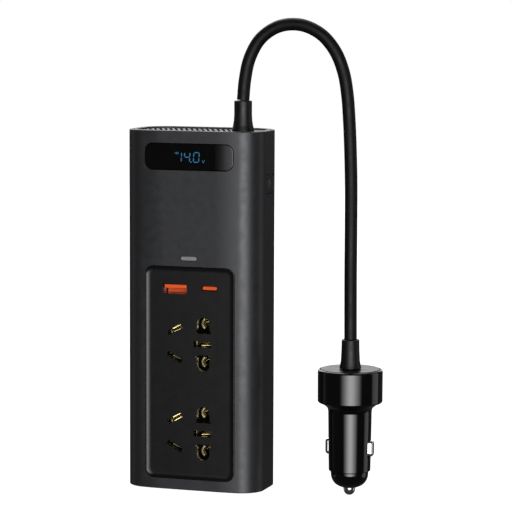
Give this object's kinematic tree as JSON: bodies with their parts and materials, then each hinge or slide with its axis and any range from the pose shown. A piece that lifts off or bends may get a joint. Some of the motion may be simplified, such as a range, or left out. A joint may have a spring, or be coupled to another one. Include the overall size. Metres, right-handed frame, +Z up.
{
  "type": "power inverter",
  "caption": "Hand-held car power inverter with a display, mains sockets, USB ports and a stiff lead that arches over to a vehicle power plug.",
  "frame": {"origin": "centre of the base of the sleeve, on the surface that it stands on", "axes": "+X across the front to the right, towards the button and the plug; -Y out of the front with the sockets; +Z up along the sleeve"},
  "size_m": [0.1273, 0.0388, 0.2304],
  "materials": {
    "shell_aluminium": "matte anodised dark grey",
    "dark_plastic": "fine matte black",
    "black_gloss": "polished black",
    "display_black": "polished black window",
    "light_pipe": "translucent light grey",
    "rubber_black": "matte black",
    "contact_brass": "bright stamped",
    "bright_steel": "bright plated",
    "screw_steel": "zinc plated",
    "port_orange": "orange insulator",
    "board_green": "lacquered circuit board",
    "ferrite": "dull dark grey",
    "copper_winding": "enamelled winding",
    "heat_aluminium": "milled",
    "capacitor_sleeve": "shrink sleeve",
    "wire_red": "insulated wire",
    "fuse_glass": "clear tube with metal ends"
  },
  "bodies": {
    "inverter": {"shell": "shell_aluminium", "top_cap": "dark_plastic", "bottom_cap": "dark_plastic", "cap_screw_1": "screw_steel", "cap_screw_2": "screw_steel", "cap_screw_3": "screw_steel", "cap_screw_4": "screw_steel", "display_window": "display_black", "display_module": "dark_plastic", "display_board": "board_green", "status_light": "light_pipe", "socket_panel": "dark_plastic", "usb_a_shell": "bright_steel", "usb_a_insulator": "port_orange", "usb_c_shell": "bright_steel", "usb_c_insulator": "port_orange", "usb_board": "board_green", "main_board": "board_green", "transformer_core": "ferrite", "transformer_winding": "copper_winding", "bulk_capacitor": "capacitor_sleeve", "input_capacitor_1": "capacitor_sleeve", "input_capacitor_2": "capacitor_sleeve", "output_inductor": "copper_winding", "heat_spreader": "heat_aluminium", "transistor_1": "dark_plastic", "transistor_2": "dark_plastic", "transistor_3": "dark_plastic", "transistor_4": "dark_plastic", "switch_body": "dark_plastic", "fan_frame": "dark_plastic", "lead_strain_relief": "rubber_black", "power_lead": "rubber_black", "positive_wire": "wire_red", "negative_wire": "rubber_black", "plug_housing": "black_gloss", "plug_cap": "black_gloss", "plug_strain_relief": "rubber_black", "plug_nose": "black_gloss", "pin_spring": "bright_steel", "plug_board": "board_green", "upper_socket_carrier": "dark_plastic", "upper_line_contact": "contact_brass", "upper_neutral_contact": "contact_brass", "upper_earth_contact": "contact_brass", "lower_socket_carrier": "dark_plastic", "lower_line_contact": "contact_brass", "lower_neutral_contact": "contact_brass", "lower_earth_contact": "contact_brass"},
    "button": {"power_button": "dark_plastic"},
    "fan": {"fan_rotor": "dark_plastic"},
    "pin": {"centre_pin": "bright_steel", "plug_fuse": "fuse_glass"},
    "left_contact": {"left_side_contact": "bright_steel"},
    "right_contact": {"right_side_contact": "bright_steel"}
  },
  "joints": [
    {"name": "button_press", "type": "slide", "parent": "inverter", "child": "button", "axis": [-1, 0, 0], "range_m": [0, 0.0012], "stiffness_N_per_m": 500, "springref_m": -0.001},
    {"name": "fan_spin", "type": "hinge", "parent": "inverter", "child": "fan", "pos_m": [-0.006, 0.0023, 0.165], "axis": [0, 0, 1], "continuous": true},
    {"name": "centre_pin_press", "type": "slide", "parent": "inverter", "child": "pin", "axis": [0, 0, 1], "range_m": [0, 0.0025], "stiffness_N_per_m": 1200, "springref_m": -0.002, "deforming": ["pin_spring"]},
    {"name": "left_contact_press", "type": "slide", "parent": "inverter", "child": "left_contact", "axis": [0.9994, -0.0349, 0], "range_m": [0, 0.0015], "stiffness_N_per_m": 800, "springref_m": -0.001},
    {"name": "right_contact_press", "type": "slide", "parent": "inverter", "child": "right_contact", "axis": [-0.9994, 0.0349, 0], "range_m": [0, 0.0015], "stiffness_N_per_m": 800, "springref_m": -0.001}
  ]
}
